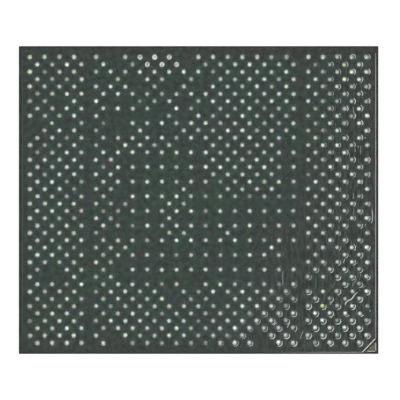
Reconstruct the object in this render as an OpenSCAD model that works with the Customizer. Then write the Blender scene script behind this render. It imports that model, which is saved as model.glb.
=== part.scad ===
// Ball grid array package with 760 solder balls on a 0.4 mm diagonal grid.
// It lies on its mould cap with the balls up. The origin is the centre of the
// cap's outer face, +Z points to the balls, and corner A1 is at +X, -Y.
// A flip chip die sits on copper pillars under the cap, on a four-layer
// laminate whose lands carry the balls.

/* [Package] */
// Length of the package
body_x = 13.9; // [13.6:0.1:15]
// Width of the package
body_y = 11.9; // [11.6:0.1:13]
// Thickness of the mould cap
mold_t = 0.55; // [0.5:0.01:0.7]
// Diameter of the shallow dot that marks corner A1 on the cap
dot_d = 0.5; // [0.3:0.05:0.8]
// Depth of that dot
dot_depth = 0.02; // [0.01:0.005:0.04]
// Distance of the dot's centre from both edges of the cap
dot_inset = 0.9; // [0.6:0.1:1.5]

/* [Ball grid] */
// Distance between neighbouring balls, along the diagonals
ball_pitch = 0.4; // [0.37:0.005:0.41]
// Diameter of a ball
ball_d = 0.23; // [0.21:0.005:0.25]
// Height of a ball above the solder mask
ball_standoff = 0.16; // [0.145:0.005:0.18]
// Height above the mask of a ball that was pressed flat
flat_standoff = 0.115; // [0.1:0.005:0.135]
// Gap between a ball and the rim of its opening in the mask
opening_gap = 0.005; // [0.002:0.001:0.01]
// How far the mask laps over the edge of a land
mask_lap = 0.04; // [0.02:0.005:0.045]

/* [Ball side finish] */
// Thickness of the lands and of the corner mark
land_t = 0.015; // [0.01:0.001:0.025]
// Thickness of the solder mask over the lands
mask_t = 0.02; // [0.01:0.001:0.03]
// Distance of the mask's outline from the package's edge
mask_inset = 0.06; // [0.03:0.01:0.1]
// Leg of the corner that the mask leaves free at A1
a1_chamfer = 0.555; // [0.45:0.005:0.7]
// Gap between the A1 mark and the mask's cut corner
a1_gap = 0.065; // [0.03:0.005:0.1]
// Distance of the A1 mark from the package's edges
a1_inset = 0.077; // [0.05:0.001:0.12]

/* [Laminate] */
// Thickness of the core
core_t = 0.06; // [0.05:0.01:0.2]
// Thickness of each prepreg sheet between two layers of copper
prepreg_t = 0.04; // [0.03:0.005:0.08]
// Thickness of the inner planes and of the copper on the die side
copper_t = 0.012; // [0.01:0.001:0.018]
// Distance of the copper planes from the package's edge
copper_inset = 0.15; // [0.1:0.01:0.3]
// Diameter of a via
via_d = 0.1; // [0.08:0.01:0.12]
// Diameter of the pad at each end of a via
via_pad_d = 0.2; // [0.16:0.01:0.24]
// Ring kept free of copper where a via passes the other plane
antipad_gap = 0.08; // [0.05:0.01:0.1]
// Thickness of the solder mask over the copper on the die side
die_mask_t = 0.015; // [0.01:0.001:0.025]

/* [Die] */
// Length of the die
die_x = 8.4; // [7:0.1:9.5]
// Width of the die
die_y = 7.8; // [6.5:0.1:9]
// Thickness of the die
die_t = 0.2; // [0.1:0.01:0.25]
// Diameter of a copper pillar
pillar_d = 0.08; // [0.06:0.01:0.1]
// Height of a copper pillar
pillar_h = 0.04; // [0.03:0.005:0.05]
// Thickness of the solder cap between a pillar and its pad
cap_h = 0.02; // [0.015:0.005:0.03]
// Diameter of the pad under a pillar
bump_pad_d = 0.12; // [0.11:0.01:0.14]
// Distance kept between the outermost pillars and the die's edge
bump_margin = 0.2; // [0.15:0.05:0.5]
// Distance from the die's edge to the edge of the mask's window
window_margin = 0.2; // [0.1:0.05:0.4]
// Width of the underfill's fillet outside the window
fillet_run = 0.15; // [0.1:0.05:0.3]
// Height that the underfill climbs up the sides of the die
fillet_climb = 0.12; // [0.05:0.01:0.18]

/* [Hidden] */
$fn = 48;
// Overshoot of cutters past the faces that they open
cut = 0.01;

// The ball map, seen on the ball side with A1 at the lower right: the first
// string is row AY, the last is row A. o is a ball, O is a ball pressed flat,
// a dot is a site without a ball, and a space is a lane half a pitch wide.
BALL_MAP = [
  "oooo o.oOOO.ooooooo ooooo",
  "oooo o.oOOO.ooooooo oooo",
  "oooo oooooooooooooo ooooo",
  "oooo .o.oo.o.oooooo oooo",
  "oooo ooo.o.o.oooooo ooooo",
  "oooo oooooooooooooo oooo",
  "oo.o o..ooo.ooooooo ooooo",
  "oooo oooo.oo.oooooo oooo",
  "oooo o....o.ooooooo ooooo",
  ".o.o o.oooooooooooo oooo",
  ".ooo o..o..oooooooo ooo.o",
  "oooo oooooooooooooo oooo",
  "oooo o.oooo..ooooo. ooooo",
  "oooo oooooooooooooo ooo.",
  "oooo oo......ooooo. ooooo",
  "oooo oooooooooooooo oooo",
  "oooo oo......ooooo. ooooo",
  "oooo oooooooooooooo oooo",
  "oooo oo....o..oooo. ooo.o",
  "oooo o.oooooooooooo oooo",
  "oooo ooo..oo....... ooooo",
  "oooo oooooooooooooo oooo",
  "oooo oo...o........ ooooo",
  "oooo oooooooooooooo oooo",
  "oooo o....oo..o.... ooo.o",
  "oooo oooooooooooooo oooo",
  "oooo ooo.........o. ooooo",
  "oooo ooooooooooooo. o.oo",
  "oooo oo............ ooooo",
  "o.oo o.oooooooooooo oooo",
  "o..o oo............ ooooo",
  "oooo oooooo.ooooooo ..oo",
  "oooo ooooo.oooooooo ooooo",
  "oooo ooooo.oo.ooooo oooo",
  "oooo oooooooooooooo ooooo",
  "oooo oooooooooooooo oooo",
  "oooo oooooooooooooo ooooo",
  "oooo oooooooooooooo oooo",
  "oooo o.ooooooooo.oo ooooo",
  "oooo o.ooooooooo.oo oooo"
];

ROWS = len(BALL_MAP);
// Row letters in the usual order, which leaves out i, o, q, s, x and z
LETTERS = "abcdefghjklmnprtuvwy";

// Half of the grid's diagonal: the step between columns and between rows
step = ball_pitch / sqrt(2);

// Heights of the layers, from the cap's outer face towards the balls
die_copper_z = mold_t + die_mask_t;
die_prepreg_z = die_copper_z + copper_t;
ground_z = die_prepreg_z + prepreg_t;
core_z = ground_z + copper_t;
power_z = core_z + core_t;
ball_prepreg_z = power_z + copper_t;
land_z = ball_prepreg_z + prepreg_t;
land_top_z = land_z + land_t;
mask_top_z = land_top_z + mask_t;

// Heights inside the cap
cap_z = die_copper_z - cap_h;
die_face_z = cap_z - pillar_h;
die_z = die_face_z - die_t;

// Ball: a sphere cut off where it stands on its land
ball_r = ball_d / 2;
ball_centre_h = ball_standoff - ball_r;
waist_r = sqrt(ball_r ^ 2 - ball_centre_h ^ 2);
opening_r = waist_r + opening_gap;
land_r = opening_r + mask_lap;

// Pressed ball: above the mask it holds a round ball's volume of solder
solder_volume = PI * ball_standoff ^ 2 * (3 * ball_r - ball_standoff) / 3;
flat_r = sqrt((6 * solder_volume / (PI * flat_standoff) - flat_standoff ^ 2 - 3 * waist_r ^ 2) / 3);
bulge_h = (flat_r ^ 2 + flat_standoff ^ 2 - waist_r ^ 2) / (2 * flat_standoff);
bulge_r = sqrt(waist_r ^ 2 + bulge_h ^ 2);

// Site k of a row's string stands 2 k columns along, less one for each lane
function lanes_before(line, k) =
  k == 0 ? 0 : lanes_before(line, k - 1) + (line[k - 1] == " " ? 1 : 0);
MID_COLUMN = len(BALL_MAP[0]) - 1 - lanes_before(BALL_MAP[0], len(BALL_MAP[0])) / 2;
function column(j, k) = 2 * k + j % 2 - lanes_before(BALL_MAP[j], k);
function site(j, k) = [(column(j, k) - MID_COLUMN) * step, ((ROWS - 1) / 2 - j) * step];

// Sites of line j that hold the sign, and such sites of the whole map
function line_sites(j, sign) =
  [for (k = [0 : len(BALL_MAP[j]) - 1]) if (BALL_MAP[j][k] == sign) site(j, k)];
function all_sites(sign) = [for (j = [0 : ROWS - 1]) each line_sites(j, sign)];
ball_sites = concat(all_sites("o"), all_sites("O"));

// Vias stand on the free sites between the two lanes, as far as the planes
// reach round them, ground and power in turn
via_ring_d = via_d + 2 * antipad_gap;
via_reach = [body_x, body_y] / 2 - [1, 1] * (copper_inset + via_ring_d / 2);
function over_planes(p) = abs(p[0]) < via_reach[0] && abs(p[1]) < via_reach[1];
function via_sites(turn) = [
  for (j = [0 : ROWS - 1], k = [0 : len(BALL_MAP[j]) - 1])
    if (BALL_MAP[j][k] == "." && lanes_before(BALL_MAP[j], k) == 1 && k % 2 == turn)
      if (over_planes(site(j, k))) site(j, k)
];
ground_sites = via_sites(0);
power_sites = via_sites(1);

// Pillars stand in the middle between ball sites, inside the die's margin
bump_reach = [die_x / 2 - bump_margin, die_y / 2 - bump_margin];
bump_lines = floor(bump_reach[1] / step - 0.5);
bump_columns = floor(bump_reach[0] / step);
bump_sites = [
  for (v = [-bump_lines - 1 : bump_lines], u = [-bump_columns : bump_columns])
    if ((u + v) % 2 == 0) [u * step, (v + 0.5) * step]
];

window_size = [die_x + 2 * window_margin, die_y + 2 * window_margin];

function row_letters(r) =
  r < len(LETTERS) ? LETTERS[r] : str(LETTERS[0], LETTERS[r - len(LETTERS)]);
function row_node(r) = str("ball_row_", row_letters(r));

// A block centred on the Z axis that stands on height z
module slab(size_x, size_y, z, t) {
  translate([-size_x / 2, -size_y / 2, z]) cube([size_x, size_y, t]);
}

// A sheet cut to the package's outline, drawn in two dimensions
module outline(inset = 0) {
  square([body_x - 2 * inset, body_y - 2 * inset], center = true);
}

module discs(sites, d) {
  for (p = sites) translate(p) circle(d = d);
}

// Mould compound: a flat block with the die and its underfill sunk into it
module mold_cap() {
  color("#26272a") difference() {
    slab(body_x, body_y, 0, mold_t);
    translate([body_x / 2 - dot_inset, -body_y / 2 + dot_inset, -cut])
      cylinder(d = dot_d, h = dot_depth + cut);
    slab(die_x, die_y, die_z, die_t + cut);
    fillet_block(cut);
  }
}

module silicon_die() {
  color("#6d7078") slab(die_x, die_y, die_z, die_t);
}

// The underfill's outer form: it narrows from the laminate up to the die
module fillet_block(overshoot = 0) {
  climb_z = die_face_z - fillet_climb;
  drop = mold_t - climb_z;
  foot = window_margin + fillet_run;
  spread = foot * (drop + overshoot) / drop;
  intersection() {
    rotate([90, 0, 0]) linear_extrude(body_y, center = true)
      fillet_profile(die_x, spread, climb_z, mold_t + overshoot);
    rotate([90, 0, 90]) linear_extrude(body_x, center = true)
      fillet_profile(die_y, spread, climb_z, mold_t + overshoot);
  }
}

module fillet_profile(width, spread, low, high) {
  polygon([
    [-width / 2, low], [width / 2, low],
    [width / 2 + spread, high], [-width / 2 - spread, high]
  ]);
}

module underfill() {
  color("#33353a") difference() {
    union() {
      fillet_block();
      slab(window_size[0], window_size[1], mold_t, die_prepreg_z - mold_t);
    }
    slab(die_x, die_y, die_z, die_t);
    for (p = bump_sites) translate(p) bump_hole();
  }
}

// Room for a pillar, its solder cap and the pad below them
module bump_hole() {
  rotate_extrude() polygon([
    [0, die_face_z - cut], [pillar_d / 2, die_face_z - cut],
    [pillar_d / 2, die_copper_z], [bump_pad_d / 2, die_copper_z],
    [bump_pad_d / 2, die_prepreg_z + cut], [0, die_prepreg_z + cut]
  ]);
}

module copper_pillars() {
  color("#b87346") for (p = bump_sites)
    translate([p[0], p[1], die_face_z]) cylinder(d = pillar_d, h = pillar_h);
}

module pillar_caps() {
  color("#b9bcc0") for (p = bump_sites)
    translate([p[0], p[1], cap_z]) cylinder(d = pillar_d, h = cap_h);
}

// Copper on the die side: a pour round the window, and a pad for each pillar
module die_side_copper() {
  color("#b87346") translate([0, 0, die_copper_z]) {
    linear_extrude(copper_t) pour_2d();
    for (p = bump_sites) translate(p) cylinder(d = bump_pad_d, h = copper_t);
  }
}

module pour_2d() {
  difference() {
    outline(copper_inset);
    square(window_size, center = true);
  }
}

// The mask fills the margin round the pour and laps over it
module die_side_mask() {
  color("#2f4a3c") difference() {
    slab(body_x, body_y, mold_t, die_prepreg_z - mold_t);
    slab(window_size[0], window_size[1], mold_t - cut, die_prepreg_z - mold_t + 2 * cut);
    slab(body_x - 2 * copper_inset, body_y - 2 * copper_inset, die_copper_z, copper_t + cut);
  }
}

// An inner plane: its own vias join it, the others pass through free rings
module plane_2d(own_sites, other_sites) {
  difference() {
    outline(copper_inset);
    discs(own_sites, via_d);
    discs(other_sites, via_ring_d);
  }
}

module ground_plane() {
  color("#b87346") translate([0, 0, ground_z]) linear_extrude(copper_t)
    plane_2d(ground_sites, power_sites);
}

module power_plane() {
  color("#b87346") translate([0, 0, power_z]) linear_extrude(copper_t)
    plane_2d(power_sites, ground_sites);
}

// Laminate sheet with a hole for each via
module sheet(z, t) {
  translate([0, 0, z]) linear_extrude(t) difference() {
    outline();
    discs(concat(ground_sites, power_sites), via_d);
  }
}

// Resin in the layer of a plane: the rim round it and the free rings in it
module resin_rim(z) {
  difference() {
    slab(body_x, body_y, z, copper_t);
    slab(body_x - 2 * copper_inset, body_y - 2 * copper_inset, z - cut, copper_t + 2 * cut);
  }
}

module resin_rings(sites, z) {
  for (p = sites) translate([p[0], p[1], z]) difference() {
    cylinder(d = via_ring_d, h = copper_t);
    translate([0, 0, -cut]) cylinder(d = via_d, h = copper_t + 2 * cut);
  }
}

module die_side_prepreg() {
  color("#8f8455") union() {
    sheet(die_prepreg_z, prepreg_t);
    resin_rim(ground_z);
    resin_rings(power_sites, ground_z);
  }
}

module core() {
  color("#a3976a") sheet(core_z, core_t);
}

module ball_side_prepreg() {
  color("#8f8455") union() {
    sheet(ball_prepreg_z, prepreg_t);
    resin_rim(power_z);
    resin_rings(ground_sites, power_z);
  }
}

// Vias run through the laminate, from the die side's copper to their pads
module vias(sites) {
  for (p = sites)
    translate([p[0], p[1], die_prepreg_z]) cylinder(d = via_d, h = land_z - die_prepreg_z);
}

module ground_vias() {
  color("#b87346") vias(ground_sites);
}

module power_vias() {
  color("#b87346") vias(power_sites);
}

module ball_lands() {
  color("#c08a4e") for (p = ball_sites)
    translate([p[0], p[1], land_z]) cylinder(r = land_r, h = land_t);
}

module via_pads() {
  color("#c08a4e") for (p = concat(ground_sites, power_sites))
    translate([p[0], p[1], land_z]) cylinder(d = via_pad_d, h = land_t);
}

// Bare copper triangle in the corner that the mask leaves free
module a1_mark() {
  leg = a1_chamfer - 2 * (a1_inset - mask_inset) - a1_gap * sqrt(2);
  color("#8a8658") translate([body_x / 2 - a1_inset, -body_y / 2 + a1_inset, land_z])
    linear_extrude(land_t) polygon([[0, 0], [0, leg], [-leg, 0]]);
}

// Solder mask: it fills the space between the lands, laps over their edges
// and leaves an opening for each ball
module ball_side_mask() {
  reach_x = body_x / 2 - mask_inset;
  reach_y = body_y / 2 - mask_inset;
  color("#3f4a44") difference() {
    translate([0, 0, land_z]) linear_extrude(land_t + mask_t) polygon([
      [-reach_x, -reach_y], [reach_x - a1_chamfer, -reach_y],
      [reach_x, -reach_y + a1_chamfer], [reach_x, reach_y], [-reach_x, reach_y]
    ]);
    for (p = ball_sites) translate([p[0], p[1], land_z]) land_opening();
    for (p = concat(ground_sites, power_sites))
      translate([p[0], p[1], land_z - cut]) cylinder(d = via_pad_d, h = land_t + cut);
  }
}

module land_opening() {
  rotate_extrude() polygon([
    [0, -cut], [land_r, -cut], [land_r, land_t],
    [opening_r, land_t], [opening_r, land_t + mask_t + cut], [0, land_t + mask_t + cut]
  ]);
}

// A ball's sphere, with its centre above the mask's face
module solder_sphere() {
  translate([0, 0, mask_top_z + ball_centre_h]) sphere(r = ball_r);
}

module ball() {
  difference() {
    solder_sphere();
    slab(ball_d, ball_d, land_top_z - ball_d, ball_d);
  }
}

// A pressed ball: a round ball's foot under a barrel with a flat top
module flat_ball() {
  union() {
    intersection() {
      solder_sphere();
      slab(ball_d, ball_d, land_top_z, mask_t);
    }
    intersection() {
      translate([0, 0, mask_top_z + bulge_h]) sphere(r = bulge_r);
      slab(3 * bulge_r, 3 * bulge_r, mask_top_z, flat_standoff);
    }
  }
}

// Row r of the grid, counted from A
module ball_row(r) {
  j = ROWS - 1 - r;
  color("#c9c8c2") {
    for (p = line_sites(j, "o")) translate(p) ball();
    for (p = line_sites(j, "O")) translate(p) flat_ball();
  }
}

mold_cap();
silicon_die();
copper_pillars();
pillar_caps();
underfill();
die_side_mask();
die_side_copper();
die_side_prepreg();
ground_plane();
core();
power_plane();
ball_side_prepreg();
ground_vias();
power_vias();
ball_lands();
via_pads();
a1_mark();
ball_side_mask();
for (r = [0 : ROWS - 1]) ball_row(r);
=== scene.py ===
"""Ball grid array chip package, lying on its mould cap with the balls up.

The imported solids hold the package's construction. This script dresses them: it gives every
solid its material, replaces the rows of balls with reflowed balls that each differ a little,
and adds the relief of the solder mask: the rise over each land, the lips round the openings,
the ridges over the traces and the bead along the mask's edge. It also makes the floor, the
lamps and the camera.
"""

import math

import bpy
import numpy as np
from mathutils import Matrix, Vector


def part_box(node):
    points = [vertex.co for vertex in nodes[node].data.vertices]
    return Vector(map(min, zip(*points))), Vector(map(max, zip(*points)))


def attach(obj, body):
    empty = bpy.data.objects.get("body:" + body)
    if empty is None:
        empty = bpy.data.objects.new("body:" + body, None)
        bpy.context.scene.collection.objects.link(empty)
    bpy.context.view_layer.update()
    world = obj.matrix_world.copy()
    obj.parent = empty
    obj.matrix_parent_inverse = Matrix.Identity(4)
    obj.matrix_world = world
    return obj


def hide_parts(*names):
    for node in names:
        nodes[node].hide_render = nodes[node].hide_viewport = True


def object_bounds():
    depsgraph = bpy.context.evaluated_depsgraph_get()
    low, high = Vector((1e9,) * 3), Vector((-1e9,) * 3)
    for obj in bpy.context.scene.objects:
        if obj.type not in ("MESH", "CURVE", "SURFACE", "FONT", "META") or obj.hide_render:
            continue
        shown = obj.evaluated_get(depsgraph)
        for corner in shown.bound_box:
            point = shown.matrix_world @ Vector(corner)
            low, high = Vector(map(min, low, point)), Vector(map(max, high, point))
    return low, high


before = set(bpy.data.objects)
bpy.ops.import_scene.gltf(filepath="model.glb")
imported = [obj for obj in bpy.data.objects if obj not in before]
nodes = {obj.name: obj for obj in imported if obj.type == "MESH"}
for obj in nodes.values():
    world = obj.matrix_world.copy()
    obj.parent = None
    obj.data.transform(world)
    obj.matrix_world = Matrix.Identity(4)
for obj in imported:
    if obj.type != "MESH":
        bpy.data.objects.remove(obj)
cad_low, cad_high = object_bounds()

MM = 0.001
SEED = 760

# Places that the frame gives
mask_low, mask_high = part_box("ball_side_mask")
mark_low, mark_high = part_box("a1_mark")
land_low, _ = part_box("ball_lands")
MASK_Z = mask_high.z
BALL_ROWS = [name for name in sorted(nodes) if name.startswith("ball_row_")]
GRID_COLUMNS = 47
GRID_ROWS = 40


# ---------------------------------------------------------------- mesh helpers


def vertices_of(obj):
    """The places of an object's vertices, one row for each."""
    co = np.zeros(len(obj.data.vertices) * 3)
    obj.data.vertices.foreach_get("co", co)
    return co.reshape(-1, 3)


def new_object(name, verts, faces, material):
    """A smooth mesh object in the row's frame, riding on the only body."""
    mesh = bpy.data.meshes.new(name)
    mesh.from_pydata([tuple(v) for v in verts], [], [tuple(f) for f in faces])
    mesh.validate()
    mesh.update()
    for polygon in mesh.polygons:
        polygon.use_smooth = True
    mesh.materials.append(material)
    obj = bpy.data.objects.new(name, mesh)
    bpy.context.scene.collection.objects.link(obj)
    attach(obj, "root")
    return obj


def give_numbers(obj, name, numbers):
    """Gives each vertex a number that the material reads."""
    attribute = obj.data.attributes.new(name, "FLOAT", "POINT")
    attribute.data.foreach_set("value", np.array(numbers, dtype=np.float32))


def give_colours(obj, name, colours):
    """Gives each vertex a colour that the material reads."""
    attribute = obj.data.attributes.new(name, "FLOAT_COLOR", "POINT")
    attribute.data.foreach_set("color", np.array(colours, dtype=np.float32).ravel())


def islands(obj):
    """Lowest and highest corner of each separate ball in a row, from left to right."""
    co = vertices_of(obj)
    co = co[np.argsort(co[:, 0])]
    gap = 0.15 * MM
    cuts = np.nonzero(np.diff(co[:, 0]) > gap)[0] + 1
    return [(part.min(0), part.max(0)) for part in np.split(co, cuts)]


def smooth(value, low, high):
    """0 up to low, 1 from high on, and a smooth rise between them."""
    t = min(1.0, max(0.0, (value - low) / (high - low)))
    return t * t * (3 - 2 * t)


def turn_angles(count):
    """Evenly spaced angles of one full turn."""
    return np.linspace(0, 2 * math.pi, count, endpoint=False)


def strip_faces(first, rings, across, closed, flip=False):
    """Quads between rings of vertices. Each ring has the same count, open or closed on itself."""
    quads = []
    for ring in range(rings - 1):
        for s in range(across if closed else across - 1):
            a = first + ring * across + s
            b = first + ring * across + (s + 1) % across
            quad = (a, b, b + across, a + across)
            quads.append(quad[::-1] if flip else quad)
    return quads


# ------------------------------------------------------------------- materials


class Tree:
    """Short forms for building a material's node tree."""

    def __init__(self, name):
        self.material = bpy.data.materials.new(name)
        self.material.use_nodes = True
        self.nodes = self.material.node_tree.nodes
        self.links = self.material.node_tree.links
        self.shader = self.nodes["Principled BSDF"]
        self.place = self.add("ShaderNodeTexCoord").outputs["Object"]

    def add(self, kind, **settings):
        node = self.nodes.new(kind)
        for key, value in settings.items():
            setattr(node, key, value)
        return node

    def plug(self, source, target):
        self.links.new(source, target)

    def feed(self, socket, value):
        """Gives a socket a number, a colour or the output of another node."""
        if isinstance(value, (int, float)):
            socket.default_value = value
        elif isinstance(value, tuple):
            socket.default_value = (*value, 1)
        else:
            self.plug(value, socket)

    def set(self, **values):
        """Sets sockets of the shader, each named with _ for a space."""
        for key, value in values.items():
            self.shader.inputs[key.replace("_", " ")].default_value = value

    def scaled(self, scale):
        """The object's coordinates, stretched."""
        node = self.add("ShaderNodeMapping")
        node.inputs["Scale"].default_value = scale
        self.plug(self.place, node.inputs["Vector"])
        return node.outputs["Vector"]

    def noise(self, per_mm, detail=3.0, rough=0.5, stretch=(1, 1, 1)):
        """Noise with about per_mm cells in each millimetre."""
        node = self.add("ShaderNodeTexNoise")
        node.inputs["Scale"].default_value = per_mm / MM
        node.inputs["Detail"].default_value = detail
        node.inputs["Roughness"].default_value = rough
        self.plug(self.scaled(stretch), node.inputs["Vector"])
        return node.outputs["Fac"]

    def ramp(self, factor, *stops):
        """A colour ramp. Each stop is (position, colour)."""
        node = self.add("ShaderNodeValToRGB")
        for element, (position, colour) in zip(node.color_ramp.elements, stops, strict=True):
            element.position = position
            element.color = (*colour, 1)
        self.plug(factor, node.inputs["Fac"])
        return node.outputs["Color"]

    def span(self, value, low, high, to_low, to_high):
        """Maps a value from one range to another, with clamped ends."""
        node = self.add("ShaderNodeMapRange")
        keys = ("From Min", "From Max", "To Min", "To Max")
        for key, number in zip(keys, (low, high, to_low, to_high)):
            node.inputs[key].default_value = number
        self.plug(value, node.inputs["Value"])
        return node.outputs["Result"]

    def calculate(self, operation, *values):
        """The result of an operation on numbers or sockets."""
        node = self.add("ShaderNodeMath", operation=operation)
        for socket, value in zip(node.inputs, values):
            self.feed(socket, value)
        return node.outputs["Value"]

    def mix(self, factor, a, b, blend="MIX"):
        """Mixes two colours. Each is a colour or a socket."""
        node = self.add("ShaderNodeMix", data_type="RGBA", blend_type=blend)
        self.feed(node.inputs[0], factor)
        self.feed(node.inputs[6], a)
        self.feed(node.inputs[7], b)
        return node.outputs[2]

    def edge_nearness(self, half_x, half_y, reach):
        """1 along the outline of a rectangle round the origin, 0 from reach inwards."""
        split = self.add("ShaderNodeSeparateXYZ")
        self.plug(self.place, split.inputs["Vector"])
        sides = []
        for axis, half in (("X", half_x), ("Y", half_y)):
            distance = self.calculate("ABSOLUTE", split.outputs[axis])
            sides.append(self.span(distance, half - reach, half, 0.0, 1.0))
        return self.calculate("MAXIMUM", *sides)

    def along(self, direction):
        """How far a point lies in a direction from the origin."""
        node = self.add("ShaderNodeVectorMath", operation="DOT_PRODUCT")
        self.plug(self.place, node.inputs[0])
        node.inputs[1].default_value = direction
        return node.outputs["Value"]

    def bump(self, height, depth_um):
        """Bump from a height of 0 to 1 that stands for depth_um micrometres."""
        node = self.add("ShaderNodeBump")
        node.inputs["Strength"].default_value = 1.0
        node.inputs["Distance"].default_value = depth_um * 0.001 * MM
        self.plug(height, node.inputs["Height"])
        return node.outputs["Normal"]

    def paint(self, colour, roughness=None, normal=None):
        """Plugs what is given into the shader and returns the material."""
        for socket, name in ((colour, "Base Color"), (roughness, "Roughness"), (normal, "Normal")):
            if socket is not None:
                self.plug(socket, self.shader.inputs[name])
        return self.material


def mask_material(name, depth):
    """Solder mask: dark grey-green lacquer, greener inside than along the package's edges.

    depth scales the lacquer's own colour, under its gloss.
    """
    tree = Tree(name)
    green = (0.0158, 0.0405, 0.0264)
    teal = (0.0145, 0.0378, 0.0299)
    brown = (0.0334, 0.0334, 0.0238)
    leaf = (0.0141, 0.0493, 0.0238)
    slate = (0.0202, 0.0352, 0.0405)
    grey = (0.0255, 0.0326, 0.0264)
    # Pale tone of the painted sheen towards the lower right corner
    sheen_tone = (0.0385, 0.0515, 0.0450)
    roughness = 0.30

    def scaled(colour):
        return tuple(depth * c for c in colour)

    clouds = tree.noise(0.35, rough=0.6)
    blots = tree.noise(2.1, detail=2.0, rough=0.6)
    patches = tree.noise(1.7, detail=2.0, rough=0.6, stretch=(1.0, 1.3, 0.9))
    streaks = tree.noise(1.6, detail=2.0, stretch=(2.0, 0.25, 1.0))
    inside = tree.ramp(clouds, (0.42, scaled(green)), (0.58, scaled(teal)))
    # Where each kind of patch starts and is full in its noise, and how much it covers
    for noise, start, full, cover, tone in (
        (blots, 0.56, 0.66, 0.8, brown),
        (blots, 0.44, 0.34, 0.8, leaf),
        (patches, 0.57, 0.67, 0.8, slate),
        (streaks, 0.55, 0.70, 0.6, green),
    ):
        inside = tree.mix(tree.span(noise, start, full, 0.0, cover), inside, scaled(tone))
    rim = tree.edge_nearness(mask_high.x, mask_high.y, 0.9 * MM)
    colour = tree.mix(tree.span(rim, 0.25, 0.75, 0.0, 0.85), inside, scaled(grey))
    # Painted sheen: towards the lower right corner the colour turns paler and greyer, standing for
    # light that falls brighter there
    towards_corner = tree.along((mask_high.x, mask_low.y, 0.0))
    corner_reach = mask_high.x**2 + mask_low.y**2
    painted_corner_sheen = tree.span(towards_corner, 0.25 * corner_reach, 0.85 * corner_reach, 0.0, 0.65)
    colour = tree.mix(painted_corner_sheen, colour, scaled(sheen_tone))
    mottle = tree.span(tree.noise(5.0, detail=2.0), 0.3, 0.7, 0.42, 1.52)
    colour = tree.mix(1.0, colour, mottle, "MULTIPLY")
    # Painted light and shade: on the right the colour is streaked lighter and darker in fine bands,
    # standing for the light and shade of ripples
    ripples = tree.noise(6.5, detail=2.0, stretch=(1.6, 0.4, 1.0))
    ripple_shading = tree.span(ripples, 0.32, 0.68, 0.25, 1.9)
    on_right = tree.span(tree.along((0.94, -0.34, 0.0)), 2.6 * MM, 4.6 * MM, 0.0, 1.0)
    ripple_shaded = tree.mix(1.0, tree.mix(0.6, colour, scaled(grey)), ripple_shading, "MULTIPLY")
    colour = tree.mix(on_right, colour, ripple_shaded)
    grain = tree.bump(tree.noise(22.0), 0.35)
    gloss = tree.span(tree.noise(14.0, detail=4.0), 0.3, 0.7, roughness, 1.35 * roughness)
    tree.set(Specular_IOR_Level=0.35)
    return tree.paint(colour, gloss, grain)


def relief_material():
    """The mask's raised lips, ridges and beads, each with its own gloss."""
    tree = Tree("mask_relief")
    green = (0.0105, 0.0222, 0.0158)
    teal = (0.0098, 0.0212, 0.0170)
    full_gloss = 0.35
    colour = tree.ramp(tree.noise(0.35, rough=0.6), (0.42, green), (0.58, teal))
    glint = tree.add("ShaderNodeAttribute", attribute_name="glint")
    gloss = tree.span(glint.outputs["Fac"], 0.0, 1.0, 0.0, full_gloss)
    tree.plug(gloss, tree.shader.inputs["Specular IOR Level"])
    tree.set(Roughness=0.26)
    return tree.paint(colour)


def solder_material():
    """Tin-silver solder: satin, with each ball's own tint and gloss."""
    tree = Tree("solder_ball")
    tint = tree.add("ShaderNodeAttribute", attribute_name="tint")
    dull = tree.add("ShaderNodeAttribute", attribute_name="dull")
    blotch = tree.span(tree.noise(11.0, rough=0.6), 0.35, 0.65, 0.80, 1.10)
    colour = tree.mix(1.0, tint.outputs["Color"], blotch, "MULTIPLY")
    grain = tree.span(tree.noise(30.0), 0.3, 0.7, -0.05, 0.08)
    roughness = tree.calculate("ADD", grain, dull.outputs["Fac"])
    normal = tree.bump(tree.noise(9.0, detail=2.0), 12.0)
    tree.set(Metallic=1.0)
    return tree.paint(colour, roughness, normal)


def copper_material(name, dark, light, roughness=0.35, metallic=1.0):
    """Copper foil: cloudy in colour and gloss, with a fine grain."""
    tree = Tree(name)
    cloud = tree.noise(6.0, detail=5.0, rough=0.6)
    colour = tree.ramp(cloud, (0.3, dark), (0.7, light))
    gloss = tree.span(cloud, 0.3, 0.7, roughness, roughness + 0.15)
    grain = tree.bump(tree.noise(40.0, detail=4.0), 0.8)
    tree.set(Metallic=metallic)
    return tree.paint(colour, gloss, grain)


def laminate_material(name, resin, glass):
    """Sawn laminate: pale glass bundles lie in darker resin, layer on layer."""
    tree = Tree(name)
    weave = tree.noise(2.4, detail=4.0, rough=0.6, stretch=(1.0, 1.0, 22.0))
    saw = tree.noise(9.0, stretch=(0.4, 0.4, 5.0))
    colour = tree.ramp(weave, (0.38, resin), (0.62, glass))
    tree.set(Specular_IOR_Level=0.22)
    return tree.paint(colour, tree.span(saw, 0.3, 0.7, 0.5, 0.75), tree.bump(saw, 1.5))


def mould_material():
    """Black filled epoxy: matt, with a fine grain and a few pale filler grains."""
    tree = Tree("mold_compound")
    dark = (0.0125, 0.0125, 0.0130)
    light = (0.0195, 0.0195, 0.0200)
    filler = (0.075, 0.075, 0.078)
    cloud = tree.noise(1.2, detail=4.0)
    grain = tree.noise(28.0, detail=4.0, rough=0.65)
    base = tree.ramp(cloud, (0.3, dark), (0.7, light))
    colour = tree.mix(tree.span(grain, 0.62, 0.74, 0.0, 0.35), base, filler)
    return tree.paint(colour, tree.span(grain, 0.3, 0.7, 0.52, 0.72), tree.bump(grain, 3.5))


def plain_material(name, dark, light, roughness, metallic=0.0):
    """For the pieces that are sealed inside."""
    tree = Tree(name)
    cloud = tree.noise(3.0)
    colour = tree.ramp(cloud, (0.3, dark), (0.7, light))
    gloss = tree.span(cloud, 0.3, 0.7, roughness, roughness + 0.1)
    tree.set(Metallic=metallic)
    return tree.paint(colour, gloss)


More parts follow.
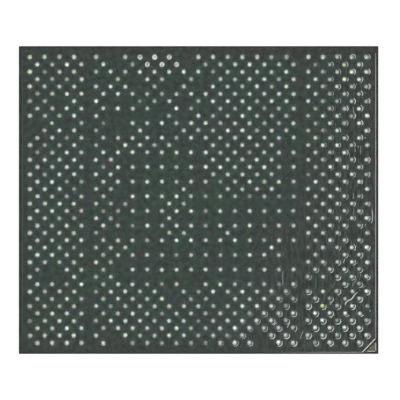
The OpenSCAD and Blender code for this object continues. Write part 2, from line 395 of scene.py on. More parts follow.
MASK = mask_material("solder_mask", 0.93)
MASK_ON_LAND = mask_material("mask_on_land", 1.45)
RELIEF = relief_material()
SOLDER = solder_material()
COPPER = copper_material("copper", (0.50, 0.22, 0.11), (0.78, 0.42, 0.26))
MARK = copper_material("mark_copper", (0.085, 0.078, 0.050), (0.20, 0.185, 0.125), 0.5, 0.6)
PREPREG = laminate_material("prepreg", (0.030, 0.031, 0.025), (0.062, 0.062, 0.048))
CORE = laminate_material("core_laminate", (0.034, 0.034, 0.026), (0.078, 0.075, 0.056))
MOULD = mould_material()

NODE_MATERIALS = {
    "ball_side_mask": MASK,
    "die_side_mask": MASK,
    "ball_side_prepreg": PREPREG,
    "die_side_prepreg": PREPREG,
    "core": CORE,
    "mold_cap": MOULD,
    "a1_mark": MARK,
    "silicon_die": plain_material("silicon", (0.10, 0.11, 0.13), (0.14, 0.15, 0.17), 0.25, 0.6),
    "underfill": plain_material("underfill", (0.02, 0.02, 0.024), (0.03, 0.03, 0.034), 0.4),
    "pillar_caps": plain_material("solder", (0.5, 0.5, 0.49), (0.6, 0.6, 0.59), 0.35, 1.0),
}


def dress_nodes():
    """Gives every solid a material. Those not named above are balls of solder or copper foil."""
    for name, obj in nodes.items():
        material = NODE_MATERIALS.get(name, SOLDER if name in BALL_ROWS else COPPER)
        obj.data.materials.clear()
        obj.data.materials.append(material)


# ------------------------------------------------------------------------ grid


class Grid:
    """The ball sites, by column from the left and by row from the top."""

    def __init__(self):
        self.boxes = {name: islands(nodes[name]) for name in BALL_ROWS}
        corners = np.array([box for boxes in self.boxes.values() for box in boxes])
        centres = corners.mean(1)[:, :2]
        self.left = centres[:, 0].min()
        self.top = centres[:, 1].max()
        self.step_x = (centres[:, 0].max() - self.left) / (GRID_COLUMNS - 1)
        self.step_y = (self.top - centres[:, 1].min()) / (GRID_ROWS - 1)
        sizes = corners[:, 1] - corners[:, 0]
        self.height = sizes[:, 2].max()
        self.radius = np.median(sizes[:, 0]) / 2
        self.land_radius = self.left - land_low.x

    def place(self, column, row):
        """The middle of a site."""
        return np.array([self.left + column * self.step_x, self.top - row * self.step_y])

    def site(self, centre):
        """(column, row) of the site at a place."""
        column = round((centre[0] - self.left) / self.step_x)
        return column, round((self.top - centre[1]) / self.step_y)


GRID = Grid()


# ----------------------------------------------------------------------- balls

BALL_SEGMENTS = 20
BALL_RINGS = 11
# Radius of the small last ring, at a ball's top
TOP_RING = 0.0001 * MM
# The balls' radii, as shares of the modelled one
RADIUS_SHARES = (0.995, 1.02)
# How far a ball is out of round, as a share of its radius
LOBES = 0.025
# How far a ball leans at random
SWAY = 0.0042 * MM
# How far a ball leans away from a full lip
LEAN = 0.037 * MM
# How far the balls about the middle lean to the left, and the columns over which it starts and ends
DRIFT = 0.007 * MM
DRIFT_START = (8, 26)
DRIFT_END = (34, 42)
# The balls' brightness: its mean, its spread, and its lowest and highest
SHINE = 0.64
SHINE_SPREAD = 0.13
SHINE_LIMITS = (0.34, 0.98)
# Mean and spread of their red and blue, as shares of their green
RED = (0.925, 0.035)
BLUE = (0.935, 0.030)
# Roughness at the mean brightness, its fall per brightness, its jitter, and its fall on the
# right with the columns over which that grows
ROUGHNESS = 0.455
ROUGHNESS_FALL = 0.45
ROUGHNESS_JITTER = 0.03
ROUGHNESS_FALL_ON_RIGHT = 0.14
RIGHT_COLUMNS = (36, 44)
# Tarnished spots of the ball field: column, row, columns and rows from the middle to the end
TARNISHED = ((0, 0, 7, 9), (43, 2.5, 4, 4))
TARNISH = 0.12
# Balls that lost their shine, with their tint: (column, row)
DULL_BALLS = {
    (4, 8): (0.36, 0.37, 0.27),
    (3, 7): (0.40, 0.41, 0.38),
    (2, 8): (0.38, 0.40, 0.38),
    (40, 6): (0.34, 0.35, 0.33),
    (39, 7): (0.33, 0.33, 0.31),
    (41, 7): (0.36, 0.36, 0.34),
    (14, 23): (0.26, 0.29, 0.26),
    (20, 27): (0.28, 0.31, 0.28),
    (39, 33): (0.36, 0.38, 0.33),
    (38, 32): (0.36, 0.40, 0.31),
    (42, 32): (0.42, 0.43, 0.33),
    (43, 7): (0.42, 0.42, 0.46),
    (43, 9): (0.38, 0.39, 0.36),
}
DULL_GAIN = 1.35
DULL_ROUGHNESS = 0.52
# Bright balls with a tint of their own: (column, row)
TINTED_BALLS = {
    (40, 34): (0.64, 0.78, 0.42),
    (43, 3): (0.80, 0.90, 0.66),
    (44, 2): (0.84, 0.93, 0.74),
    (43, 1): (0.60, 0.64, 0.46),
    (0, 0): (0.56, 0.63, 0.46),
    (2, 0): (0.60, 0.68, 0.52),
    (5, 5): (0.86, 0.80, 0.80),
    (7, 5): (0.74, 0.82, 0.60),
    (3, 9): (0.50, 0.58, 0.40),
}
TINTED_ROUGHNESS = 0.32
# A ball lower than this share of the usual height was pressed flat
PRESSED_BELOW = 0.9
# Its roughness, and the radius of its neck as a share of a round ball's
PRESSED_ROUGHNESS = 0.34
PRESSED_NECK = 0.93
# Its tint at the middle of its top, where it is dark, and under its foot
PRESSED_MIDDLE = (0.45, 0.47, 0.44, 1.0)
PRESSED_FOOT = (0.6, 0.6, 0.6, 1.0)
# Elsewhere its brightness, how much that varies, and its red and blue as shares of its green
PRESSED_SHINE = (0.50, 0.74)
PRESSED_GRAIN = 0.15
PRESSED_RED = 0.96
PRESSED_BLUE = 0.94
# The pits of its top: how far out they lie, how dark they are and how far they reach, as shares
PITS = 3
PIT_SPREAD = 0.26
PIT_DEPTH = (0.25, 0.65)
PIT_REACH = (0.14, 0.34)


def ball_profile(radius, height):
    """(radius, height) of each ring of a ball of the given greatest radius, cut off at its foot."""
    centre = height - radius
    foot = math.acos(-centre / radius)
    steps = [foot * (1 - k / BALL_RINGS) for k in range(BALL_RINGS)]
    return [(radius * math.sin(a), centre + radius * math.cos(a)) for a in steps]


def flat_profile(radius, height, neck, neck_height):
    """Rings of a ball that was pressed flat: a foot, a bulging side and a level top."""
    middle = neck_height + (height - neck_height) * 0.5
    rings = [(neck * 0.93, 0.0), (neck, neck_height)]
    # The side bulges like a ball's between these two angles
    lowest = -0.72
    highest = 0.90
    for a in np.linspace(lowest, highest, 6)[1:]:
        rise = (height - middle) * math.sin(a) / math.sin(highest)
        rings.append((radius * math.cos(a) ** 0.6, middle + rise))
    return rings + [(radius * share, height) for share in (0.70, 0.54, 0.36, 0.18)]


def tarnish_at(column, row):
    """How yellow the balls about a site may be, from 0 to 1."""
    spots = []
    for middle_column, middle_row, columns, rows in TARNISHED:
        beside = max(0.0, 1.0 - abs(column - middle_column) / columns)
        spots.append(beside * max(0.0, 1.0 - abs(row - middle_row) / rows))
    return min(1.0, 2.0 * max(spots))


def ball_look(rng, column, row):
    """Tint and roughness of one ball."""
    if (column, row) in DULL_BALLS:
        return DULL_GAIN * np.array(DULL_BALLS[column, row]), DULL_ROUGHNESS
    if (column, row) in TINTED_BALLS:
        return np.array(TINTED_BALLS[column, row]), TINTED_ROUGHNESS
    shine = float(np.clip(rng.normal(SHINE, SHINE_SPREAD), *SHINE_LIMITS))
    red = rng.normal(*RED)
    blue = rng.normal(*BLUE)
    tarnish = TARNISH * rng.random() * tarnish_at(column, row)
    tint = shine * np.array([red, 1.0, blue - tarnish])
    roughness = ROUGHNESS - ROUGHNESS_FALL * (shine - SHINE)
    roughness += rng.uniform(-ROUGHNESS_JITTER, ROUGHNESS_JITTER)
    return tint, roughness - ROUGHNESS_FALL_ON_RIGHT * smooth(column, *RIGHT_COLUMNS)


class BallRow:
    """Collects the balls of one row into one mesh."""

    def __init__(self):
        self.verts = []
        self.faces = []
        self.tints = []
        self.dulls = []

    def add(self, rings, box, tints, dull, wobble, sway):
        """Adds a closed ball that stands on its box's floor.

        tints holds one colour for each vertex, wobble one share of the radius for each segment.
        sway moves all but the foot.
        """
        low, high = box
        centre = (low[:2] + high[:2]) / 2
        angles = turn_angles(BALL_SEGMENTS)
        around = np.stack([np.cos(angles), np.sin(angles)], 1)
        height = rings[-1][1]
        first = len(self.verts)
        for radius, z in rings:
            shape = np.minimum(1 + (z / height) ** 2 * wobble, 1.0)[:, None]
            xy = centre + radius * around * shape + sway * smooth(z, 0.0, 0.3 * height)
            self.verts += [(x, y, low[2] + z) for x, y in xy]
        top = len(self.verts)
        base = top + 1
        self.verts.append((*(centre + sway), low[2] + height))
        self.verts.append((*centre, low[2]))
        last = first + (len(rings) - 1) * BALL_SEGMENTS
        self.faces += strip_faces(first, len(rings), BALL_SEGMENTS, closed=True)
        for s in range(BALL_SEGMENTS):
            after = (s + 1) % BALL_SEGMENTS
            self.faces.append((last + s, last + after, top))
            self.faces.append((first + after, first + s, base))
        self.tints += tints
        self.dulls += [dull] * (len(self.verts) - first)


def round_ball(balls, rng, box, site):
    """Adds a reflowed ball, which leans away from the lip of its opening."""
    low, high = box
    radius = rng.uniform(*RADIUS_SHARES) * (high[0] - low[0]) / 2
    height = high[2] - low[2]
    tint, roughness = ball_look(rng, *site)
    rings = ball_profile(radius, height) + [(TOP_RING, height)]
    angles = turn_angles(BALL_SEGMENTS)
    lobes = rng.normal(0, LOBES, 2)
    turn = rng.uniform(0, math.pi, 2)
    wobble = lobes[0] * np.cos(2 * (angles + turn[0])) + lobes[1] * np.cos(3 * (angles + turn[1]))
    strength, away, _ = lip_shape(*site)
    lean = 0.0 if site in PLAIN_OPENINGS else LEAN * strength
    sway = rng.normal(0, SWAY, 2) - lean * np.array([math.cos(away), math.sin(away)])
    column = site[0]
    sway[0] -= DRIFT * smooth(column, *DRIFT_START) * (1 - smooth(column, *DRIFT_END))
    tints = [(*tint, 1.0)] * (len(rings) * BALL_SEGMENTS + 2)
    balls.add(rings, box, tints, roughness, wobble, sway)


def pressed_ball(balls, rng, box):
    """A ball with a level, scuffed top: its rim shines and its middle is dark and mottled."""
    low, high = box
    radius = (high[0] - low[0]) / 2
    rings = flat_profile(radius, high[2] - low[2], PRESSED_NECK * GRID.radius, MASK_Z - low[2])
    tints = []
    level = rng.uniform(*PRESSED_SHINE)
    pits = []
    for _ in range(PITS):
        pits.append((rng.normal(0, PIT_SPREAD, 2), rng.uniform(*PIT_DEPTH), rng.uniform(*PIT_REACH)))
    for r, _ in rings:
        for a in turn_angles(BALL_SEGMENTS):
            spot = np.array([math.cos(a), math.sin(a)]) * r / radius
            shine = level * (1 - PRESSED_GRAIN * rng.random())
            for pit, depth, reach in pits:
                shine *= 1 - depth * math.exp(-((np.hypot(*(spot - pit)) / reach) ** 2))
            tints.append((PRESSED_RED * shine, shine, PRESSED_BLUE * shine, 1.0))
    tints += [PRESSED_MIDDLE, PRESSED_FOOT]
    balls.add(rings, box, tints, PRESSED_ROUGHNESS, np.zeros(BALL_SEGMENTS), np.zeros(2))


def make_balls():
    """Replaces each row of balls. Returns the centres of the balls."""
    rng = np.random.default_rng(SEED)
    centres = []
    for name in BALL_ROWS:
        balls = BallRow()
        for box in GRID.boxes[name]:
            low, high = box
            centre = (low[:2] + high[:2]) / 2
            centres.append(centre)
            if high[2] - low[2] < PRESSED_BELOW * GRID.height:
                pressed_ball(balls, rng, box)
            else:
                round_ball(balls, rng, box, GRID.site(centre))
        obj = new_object("balls_" + name.replace("ball_row_", ""), balls.verts, balls.faces, SOLDER)
        give_colours(obj, "tint", balls.tints)
        give_numbers(obj, "dull", balls.dulls)
        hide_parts(name)
    return centres


# ------------------------------------------------------------------ mask relief

# How far the outer edges of the relief lie below the mask's face
SUNK = 0.001 * MM
# The mask's rise over each land: its inner radius as a share of a ball's, its height, and the
# width of its outer slope
MOUND_SEGMENTS = 24
MOUND_INSIDE = 0.75
MOUND_RISE = 0.0035 * MM
MOUND_SLOPE = 0.034 * MM
# The lit slopes of lips, ridges and beads all have this angle, low enough to glint in a lamp above
LIT_SLOPE = math.tan(math.radians(3.0))
# A lit slope, as shares of its width and of its rise
LIT_SECTION = ((-1.0, 0.0), (-0.94, 0.06), (-0.5, 0.5), (-0.14, 0.86), (-0.02, 0.96), (0.06, 0.94))
# Where a strip meets the mask on its lit side and on its steep side, as shares of its width
LIT_TOE = -1.12
STEEP_TOE = 0.58
# How high the lit slope starts, as a share of its width
FOOT = 0.25
# A strip broader than BROAD starts this low instead, so that its sides don't show as dark lines
BROAD = 0.050 * MM
LOW_FOOT = 0.004 * MM
LIP_SEGMENTS = 24
LIP_WIDTH = 0.038 * MM
# From the ball's side to the middle of the lip's lit slope
LIP_OFFSET = 0.0030 * MM
LIP_JITTER = 0.003 * MM
# How a lip's strength, length and turn differ at random: two ranges of shares and a spread
LIP_STRENGTHS = (0.75, 1.2)
LIP_LENGTHS = (0.85, 1.15)
LIP_TURN = 0.14
# Weaker lips than this aren't made
FAINTEST_LIP = 0.10
# How far the lips of the lowest rows lie below their balls' centres
LIP_DROP = 0.012 * MM
# The rows over which the look of the upper rows turns to that of the lower ones
TO_LOW_ROWS = (26, 36)
# Balls on the right without a lip: (column, row)
PLAIN_OPENINGS = {
    (40, 30), (40, 32), (44, 32), (43, 33), (46, 34), (43, 35),
    (45, 35), (46, 8), (46, 12), (46, 18), (46, 24), (46, 28),
}
# Low ripples of the mask on the right, besides the ridges over traces
RIPPLES = 45
RIPPLE_COLUMNS = (41.3, 46.3)
RIPPLE_ROWS = (1, 31)
# Their length, and their lean and bend to the side, in rows and columns
RIPPLE_LENGTH = (0.4, 1.2)
RIPPLE_LEAN = 0.12
RIPPLE_BEND = 0.10
# Their width in millimetres
RIPPLE_WIDTH = (0.040, 0.060)
RIPPLE_GLINT = (0.04, 0.16)
# Points of a ridge's curve from each given point to the next
CURVE_POINTS = 6
# Ridges of the mask over traces: width in micrometres, glint, (column, row) points
TRACES = [
    (46, 0.88, (
        (44.81, 32.02), (44.35, 32.38), (44.07, 32.81), (43.79, 33.08),
        (43.32, 33.32), (43.05, 33.67), (43.05, 34.06),
    )),
    (42, 0.52, ((41.30, 33.42), (41.03, 33.66), (41.0, 33.98))),
    (42, 0.52, ((41.36, 35.20), (41.2, 35.45), (41.01, 35.78))),
    (50, 0.72, ((42.98, 35.48), (43.34, 35.36), (43.74, 35.15))),
    (46, 0.80, ((45.05, 35.52), (45.36, 35.30), (45.70, 35.15))),
    (42, 0.50, ((46.38, 34.84), (46.44, 34.65), (46.54, 34.50))),
    (42, 0.28, ((45.99, 31.09), (45.67, 31.33), (45.21, 31.48))),
    (38, 0.35, ((44.73, 30.15), (44.5, 30.46), (44.18, 30.86), (44.03, 31.17), (44.18, 31.56))),
    (38, 0.28, ((45.1, 29.4), (45.12, 29.84), (44.95, 30.2))),
    (52, 0.12, ((41.13, 29.8), (41.16, 30.35))),
    (70, 0.12, ((41.78, 30.65), (41.45, 31.2), (41.12, 31.79))),
    (75, 0.10, ((39.0, 31.9), (39.0, 30.8), (39.0, 29.6))),
    (42, 0.37, ((37.35, 37.26), (37.04, 37.97), (36.8, 38.66))),
    (42, 0.28, ((38.32, 38.42), (37.95, 38.52), (37.5, 38.48))),
    (42, 0.28, ((45.05, 37.55), (44.98, 37.93))),
    (42, 0.28, ((41.3, 37.45), (40.95, 37.62))),
    (42, 0.28, ((42.3, 32.5), (42.05, 32.75))),
    (40, 0.60, ((33.1, 36.75), (33.5, 36.4), (33.8, 36.15))),
    (40, 0.60, ((35.1, 37.1), (35.25, 36.6), (35.6, 36.15))),
    (34, 0.36, ((34.5, 31.4), (34.5, 30.2), (34.5, 29.0))),
    (42, 0.57, ((46.54, 22.76), (46.70, 22.40), (46.75, 21.55), (46.68, 20.60))),
    (42, 0.52, ((45.75, 23.13), (45.80, 22.62))),
    (42, 0.22, ((44.15, 22.3), (44.2, 21.4), (44.15, 20.4))),
    (42, 0.31, ((44.15, 19.5), (44.15, 18.95), (44.15, 18.4))),
    (42, 0.57, ((42.7, 28.22), (42.85, 27.85), (43.0, 27.42))),
    (42, 0.25, ((43.55, 27.35), (43.84, 26.95))),
    (42, 0.31, ((44.05, 28.42), (44.35, 28.08), (44.6, 28.12), (44.9, 27.95))),
    (42, 0.34, ((44.1, 6.6), (44.14, 7.1), (44.2, 7.5), (44.5, 8.06))),
    (42, 0.34, ((44.8, 12.5), (44.8, 11.9))),
    (42, 0.28, ((45.12, 13.4), (45.12, 12.7), (45.08, 11.95))),
    (42, 0.31, ((44.4, 13.05), (44.38, 12.7), (44.42, 12.3))),
    (42, 0.52, ((45.66, 11.18), (45.84, 10.8))),
    (42, 0.17, ((43.6, 13.8), (43.62, 13.3), (43.58, 12.8))),
    (42, 0.19, ((45.4, 14.52), (45.0, 14.42), (44.6, 14.28))),
    (42, 0.22, ((45.6, 4.62), (45.75, 4.85), (45.95, 5.05))),
    (42, 0.19, ((44.5, 3.45), (44.58, 3.7), (44.66, 3.95))),
    (42, 0.17, ((45.3, 5.2), (45.45, 5.5), (45.7, 5.75))),
]
# Lines along the edges of the mask and the mark: how far in from the edge they lie, how far
# from the corner they end, their width and their glint
LEFT_INSET = 0.085 * MM
LEFT_END = 0.3 * MM
LEFT_WIDTH = 0.042 * MM
LEFT_GLINT = 0.09
RIGHT_INSET = 0.050 * MM
RIGHT_END = 0.2 * MM
RIGHT_WIDTH = 0.030 * MM
RIGHT_GLINT = 0.55
BOTTOM_INSET = 0.008 * MM
BOTTOM_END = 0.35 * MM
BOTTOM_WIDTH = 0.026 * MM
BOTTOM_GLINT = 0.06
BOTTOM_GLINT_ON_RIGHT = 0.46
CORNER_WIDTH = 0.042 * MM
CORNER_GLINT = 0.90
MARK_INSET = 0.030 * MM
MARK_END = 2.2 * MARK_INSET
MARK_WIDTH = 0.032 * MM
MARK_GLINT = 0.8
# Offsets that make the lines meet at the two ends of the cut corner
CORNER_LAP = 0.01 * MM
RIGHT_LAP = 0.03 * MM


def make_mounds(centres):
    """The mask rises gently over each land, up to the ball's foot."""
    inner = MOUND_INSIDE * GRID.radius
    crest = GRID.land_radius
    outer = crest + MOUND_SLOPE
    angles = turn_angles(MOUND_SEGMENTS)
    verts = []
    faces = []
    for x, y in centres:
        first = len(verts)
        for radius, rise in ((inner, MOUND_RISE), (crest, MOUND_RISE), (outer, -SUNK)):
            z = MASK_Z + rise
            verts += [(x + radius * math.cos(a), y + radius * math.sin(a), z) for a in angles]
        faces += strip_faces(first, 3, MOUND_SEGMENTS, closed=True, flip=True)
    obj = new_object("mask_mounds", verts, faces, MASK_ON_LAND)


def lip_shape(column, row):
    """(strength, direction, half angle) of the lip round an opening: it grows to the right."""
    low = smooth(row, *TO_LOW_ROWS)
    lowest = smooth(row, 34, 39)
    middle = smooth(row, 8, 18) * (1 - smooth(row, 22, 30))
    # The columns where the lips start and where they are full
    start = 36.5 - 12.0 * low - 4.0 * lowest
    full = 44.5 - 4.0 * low - 5.0 * lowest
    strength = smooth(column, start, full) * (0.86 - 0.22 * middle + 0.08 * low)
    # In degrees
    direction = 10 - 26 * smooth(row, 8, 20) - 20 * smooth(row, 22, 32)
    half = 76 + 24 * low
    return strength, math.radians(direction), math.radians(half)


class Relief:
    """Collects raised strips of the mask into one mesh, each with its own glint."""

    across = len(LIT_SECTION) + 2

    def __init__(self):
        self.verts = []
        self.faces = []
        self.glints = []

    def strip(self, crest, steep_side, widths, glints, base=MASK_Z):
        """A strip along a crest line: a lit slope on one side and a steep drop on the steep side."""
        first = len(self.verts)
        for point, out, width, glint in zip(crest, steep_side, widths, glints):
            foot = FOOT * width if width < BROAD else LOW_FOOT
            rise = width * LIT_SLOPE
            section = [(LIT_TOE * width, -SUNK)]
            section += [(x * width, foot + z * rise) for x, z in LIT_SECTION]
            section += [(STEEP_TOE * width, -SUNK)]
            self.verts += [(*(point + x * out), base + z) for x, z in section]
            self.glints += [glint] * self.across
        self.faces += strip_faces(first, len(crest), self.across, closed=False)

    def ridge(self, path, width, glint, tip=0.15, base=MASK_Z):
        """A ridge along the middle of its lit slope. tip is its width at the ends, as a share."""
        path = np.array(path)
        along = np.gradient(path, axis=0)
        along /= np.hypot(along[:, 0], along[:, 1])[:, None]
        steep_side = np.stack([along[:, 1], -along[:, 0]], 1)
        widths = width * (1 - (1 - tip) * np.abs(np.linspace(-1, 1, len(path))) ** 5)
        crest = path + 0.5 * widths[:, None] * steep_side
        self.strip(crest, steep_side, widths, glint * np.ones(len(path)), base)

    def build(self, name):
        obj = new_object(name, self.verts, self.faces, RELIEF)
        give_numbers(obj, "glint", self.glints)
        return obj


def make_lips(centres):
    """The lip of the mask round an opening stands up on the right of its ball."""
    rng = np.random.default_rng(SEED + 1)
    along = np.linspace(-1, 1, LIP_SEGMENTS)
    relief = Relief()
    for centre in centres:
        site = GRID.site(centre)
        strength, direction, half = lip_shape(*site)
        strength = min(1.0, strength * rng.uniform(*LIP_STRENGTHS))
        angles = direction + rng.normal(0, LIP_TURN) + half * rng.uniform(*LIP_LENGTHS) * along
        middle = GRID.radius + LIP_OFFSET + rng.normal(0, LIP_JITTER)
        if strength < FAINTEST_LIP or site in PLAIN_OPENINGS:
            continue
        around = np.stack([np.cos(angles), np.sin(angles)], 1)
        widths = LIP_WIDTH * (0.6 + 0.4 * strength) * (1 - 0.9 * along**6)
        ring_centre = centre - np.array([0.0, LIP_DROP * smooth(site[1], *TO_LOW_ROWS)])
        crest = ring_centre + around * (middle + 0.5 * widths)[:, None]
        relief.strip(crest, around, widths, strength * (1 - 0.9 * np.abs(along) ** 2.5))
    return relief.build("mask_lips")


def curve_points(points, count):
    """Points on a smooth curve through the given ones, count for each stretch between two."""
    points = [np.array(p, dtype=float) for p in points]
    padded = [2 * points[0] - points[1], *points, 2 * points[-1] - points[-2]]
    out = []
    for a, b, c, d in zip(padded, padded[1:], padded[2:], padded[3:]):
        slope = c - a
        curve = 2 * a - 5 * b + 4 * c - d
        twist = 3 * b - a - 3 * c + d
        for t in np.linspace(0, 1, count, endpoint=False):
            out.append(0.5 * (2 * b + slope * t + curve * t**2 + twist * t**3))
    return out + [points[-1]]


def grid_path(points):
    """A smooth path over the grid, directed so that its left is the upper left."""
    (first_column, first_row), (last_column, last_row) = points[0], points[-1]
    if (last_column - first_column) - (last_row - first_row) <= 0:
        points = points[::-1]
    return [GRID.place(*p) for p in curve_points(points, CURVE_POINTS)]


def make_ridges():
    """Ridges of the mask: over traces and as low ripples on the right, and a line on the left."""
    rng = np.random.default_rng(SEED + 2)
    relief = Relief()
    for width, glint, points in TRACES:
        relief.ridge(grid_path(points), width * 0.001 * MM, glint)
    for _ in range(RIPPLES):
        column = rng.uniform(*RIPPLE_COLUMNS)
        row = rng.uniform(*RIPPLE_ROWS)
        length = rng.uniform(*RIPPLE_LENGTH)
        lean = rng.normal(0, RIPPLE_LEAN)
        bend = rng.normal(0, RIPPLE_BEND)
        middle = (column + lean + bend, row - length / 2)
        path = grid_path([(column, row), middle, (column + 2 * lean, row - length)])
        width = rng.uniform(*RIPPLE_WIDTH) * MM
        relief.ridge(path, width, rng.uniform(*RIPPLE_GLINT))
    left = mask_low.x + LEFT_INSET
    heights = np.linspace(mask_high.y - LEFT_END, mask_low.y + LEFT_END, 40)
    relief.ridge([(left, y) for y in heights], LEFT_WIDTH, LEFT_GLINT)
    return relief.build("mask_ridges")


def corner_cut():
    """Length of each leg of the mask's cut corner."""
    co = vertices_of(nodes["ball_side_mask"])
    tolerance = 0.001 * MM
    on_right = co[co[:, 0] > mask_high.x - tolerance]
    return on_right[:, 1].min() - mask_low.y


def line_points(start, end, count):
    """Points along a line, more closely set near its ends."""
    start = np.array(start)
    end = np.array(end)
    shares = 0.5 - 0.5 * np.cos(np.linspace(0, math.pi, count, endpoint=False))
    return [start + (end - start) * share for share in shares] + [end]


def make_edge_bead():
    """A bead along the mask's bottom edge, its cut corner, its right edge and the mark's sides."""
    cut = corner_cut()
    right = mask_high.x - RIGHT_INSET
    bottom = mask_low.y + BOTTOM_INSET
    relief = Relief()
    path = line_points((mask_low.x + BOTTOM_END, bottom), (mask_high.x - cut, bottom), count=60)
    # It fades to the left
    shares = (np.array(path)[:, 0] - mask_low.x) / (mask_high.x - mask_low.x)
    glints = [BOTTOM_GLINT + BOTTOM_GLINT_ON_RIGHT * smooth(share, 0.66, 0.96) for share in shares]
    relief.ridge(path, BOTTOM_WIDTH, np.array(glints), tip=0.6)
    corner_start = (mask_high.x - cut - CORNER_LAP, bottom)
    corner_end = (right, mask_low.y + cut - CORNER_LAP)
    path = line_points(corner_start, corner_end, count=16)
    relief.ridge(path, CORNER_WIDTH, CORNER_GLINT, tip=0.7)
    edge_start = (right, mask_low.y + cut - RIGHT_LAP)
    edge_end = (right, mask_high.y - RIGHT_END)
    path = line_points(edge_start, edge_end, count=60)
    relief.ridge(path, RIGHT_WIDTH, RIGHT_GLINT, tip=0.5)
    mark_corner = (mark_high.x - MARK_INSET, mark_low.y + MARK_INSET)
    mark_left = (mark_low.x + MARK_END, mark_corner[1])
    mark_top = (mark_corner[0], mark_high.y - MARK_END)
    for start, end in ((mark_left, mark_corner), (mark_corner, mark_top)):
        path = line_points(start, end, count=10)
        relief.ridge(path, MARK_WIDTH, MARK_GLINT, tip=0.6, base=mark_high.z)
    return relief.build("mask_edge_bead")


# ------------------------------------------------------------- floor and lights

FLOOR_HALF = 400 * MM
FLOOR_GAP = 0.002 * MM
FLOOR_GLOW = 0.88
DOME = 0.34
# The overhead panel. Its radiance falls with the power PANEL_FALL of 1 + (distance / height)^2
PANEL_SIZE = 130 * MM
PANEL_HEIGHT = 28 * MM
PANEL_CENTRE = (-2.0 * MM, 0.0)
PANEL_RADIANCE = 0.90
PANEL_FALL = 1.1
# The relief's disc: its height, the half angle that it fills, and its radiance
GLINT_HEIGHT = 140 * MM
GLINT_SPREAD = math.radians(12)
GLINT_RADIANCE = 25.0
CAMERA_DISTANCE = 150 * MM
# The width that the camera sees, and how far right of the package's middle it looks
VIEW_WIDTH = 15.456 * MM
VIEW_OFFSET = 0.054 * MM


def make_floor():
    """A floor that glows white. From below it is clear, so that the underside can be looked at."""
    tree = Tree("floor")
    cloud = tree.noise(0.05, detail=2.0)
    tree.paint(tree.ramp(cloud, (0.3, (0.34, 0.34, 0.34)), (0.7, (0.36, 0.36, 0.36))))
    tree.set(Roughness=0.9, Emission_Color=(1, 1, 1, 1), Emission_Strength=FLOOR_GLOW)
    tree.material.cycles.emission_sampling = "NONE"
    clear = tree.add("ShaderNodeBsdfTransparent")
    pick = tree.add("ShaderNodeMixShader")
    tree.plug(tree.add("ShaderNodeNewGeometry").outputs["Backfacing"], pick.inputs[0])
    tree.plug(tree.shader.outputs["BSDF"], pick.inputs[1])
    tree.plug(clear.outputs["BSDF"], pick.inputs[2])
    tree.plug(pick.outputs["Shader"], tree.nodes["Material Output"].inputs["Surface"])
    z = cad_low.z - FLOOR_GAP
    corners = [(x * FLOOR_HALF, y * FLOOR_HALF, z) for x, y in ((-1, -1), (1, -1), (1, 1), (-1, 1))]
    mesh = bpy.data.meshes.new("floor")
    mesh.from_pydata(corners, [], [(0, 1, 2, 3)])
    mesh.materials.append(tree.material)
    floor = bpy.data.objects.new("floor", mesh)
    bpy.context.scene.collection.objects.link(floor)


def make_world():
    """A dim dome all round. The camera sees it as plain white."""
    world = bpy.data.worlds.new("studio")
    bpy.context.scene.world = world
    world.use_nodes = True
    tree_nodes = world.node_tree.nodes
    links = world.node_tree.links
    background = tree_nodes["Background"]
    background.inputs["Color"].default_value = (1.0, 1.0, 1.0, 1)
    path = tree_nodes.new("ShaderNodeLightPath")
    pick = tree_nodes.new("ShaderNodeMapRange")
    pick.inputs["To Min"].default_value = DOME
    pick.inputs["To Max"].default_value = 1.0
    links.new(path.outputs["Is Camera Ray"], pick.inputs["Value"])
    links.new(pick.outputs["Result"], background.inputs["Strength"])


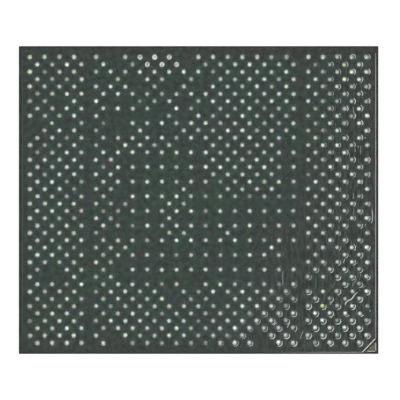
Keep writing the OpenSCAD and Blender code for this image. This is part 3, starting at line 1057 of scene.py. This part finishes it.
def make_overhead_lamp(relief):
    """A wide soft panel close above the package: brightest at its middle, fading outwards.

    It leaves the relief to the relief's own lamp, which keeps the relief free of noise.
    """
    light = bpy.data.lights.new("overhead", "AREA")
    light.shape = "SQUARE"
    light.size = PANEL_SIZE
    # Cycles spreads an area light's watts so that its radiance is energy / (4 * area)
    light.energy = 4 * PANEL_SIZE**2 * PANEL_RADIANCE
    light.use_nodes = True
    tree_nodes = light.node_tree.nodes
    links = light.node_tree.links
    emission = tree_nodes["Emission"]
    place = tree_nodes.new("ShaderNodeNewGeometry")
    offset = tree_nodes.new("ShaderNodeMapping")
    offset.vector_type = "POINT"
    share = PANEL_SIZE / PANEL_HEIGHT
    offset.inputs["Location"].default_value = (-share / 2, -share / 2, 0)
    offset.inputs["Scale"].default_value = (share, share, 0)
    reach = tree_nodes.new("ShaderNodeVectorMath")
    reach.operation = "DOT_PRODUCT"
    plus = tree_nodes.new("ShaderNodeMath")
    plus.inputs[1].default_value = 1.0
    fall = tree_nodes.new("ShaderNodeMath")
    fall.operation = "POWER"
    fall.inputs[1].default_value = -PANEL_FALL
    links.new(place.outputs["Parametric"], offset.inputs["Vector"])
    links.new(offset.outputs["Vector"], reach.inputs[0])
    links.new(offset.outputs["Vector"], reach.inputs[1])
    links.new(reach.outputs["Value"], plus.inputs[0])
    links.new(plus.outputs["Value"], fall.inputs[0])
    links.new(fall.outputs["Value"], emission.inputs["Strength"])
    lamp = bpy.data.objects.new("overhead", light)
    lamp.location = (*PANEL_CENTRE, MASK_Z + PANEL_HEIGHT)
    lamp.visible_camera = False
    unlit = bpy.data.collections.new("relief_not_lit")
    for obj in relief:
        unlit.objects.link(obj)
    for entry in unlit.collection_objects:
        entry.light_linking.link_state = "EXCLUDE"
    lamp.light_linking.receiver_collection = unlit
    bpy.context.scene.collection.objects.link(lamp)


def make_relief_lamp(relief):
    """A bright disc high above that only lights the mask's relief, which glints in it."""
    lit = bpy.data.collections.new("lit_relief")
    for obj in relief:
        lit.objects.link(obj)
    light = bpy.data.lights.new("relief_glint", "AREA")
    light.shape = "DISK"
    light.size = 2 * GLINT_HEIGHT * math.tan(GLINT_SPREAD)
    light.energy = math.pi * light.size**2 * GLINT_RADIANCE
    lamp = bpy.data.objects.new("relief_glint", light)
    lamp.location = (0.0, 0.0, MASK_Z + GLINT_HEIGHT)
    lamp.visible_camera = False
    lamp.light_linking.receiver_collection = lit
    lamp.light_linking.blocker_collection = lit
    bpy.context.scene.collection.objects.link(lamp)


def make_camera():
    """Looks straight down on the ball side, from far enough for the body's sides to stay hidden."""
    camera = bpy.data.cameras.new("camera")
    camera.sensor_width = 36.0
    camera.lens = camera.sensor_width * CAMERA_DISTANCE / VIEW_WIDTH
    camera.clip_start = 10 * MM
    camera.clip_end = 2000 * MM
    obj = bpy.data.objects.new("camera", camera)
    obj.location = (VIEW_OFFSET, 0.0, MASK_Z + CAMERA_DISTANCE)
    bpy.context.scene.collection.objects.link(obj)
    bpy.context.scene.camera = obj
    bpy.context.scene.view_settings.view_transform = "Standard"


# ------------------------------------------------------------------------ build

make_camera()
make_world()
make_floor()
dress_nodes()
ball_centres = make_balls()
make_mounds(ball_centres)
mask_relief = [make_lips(ball_centres), make_ridges(), make_edge_bead()]
make_overhead_lamp(mask_relief)
make_relief_lamp(mask_relief)
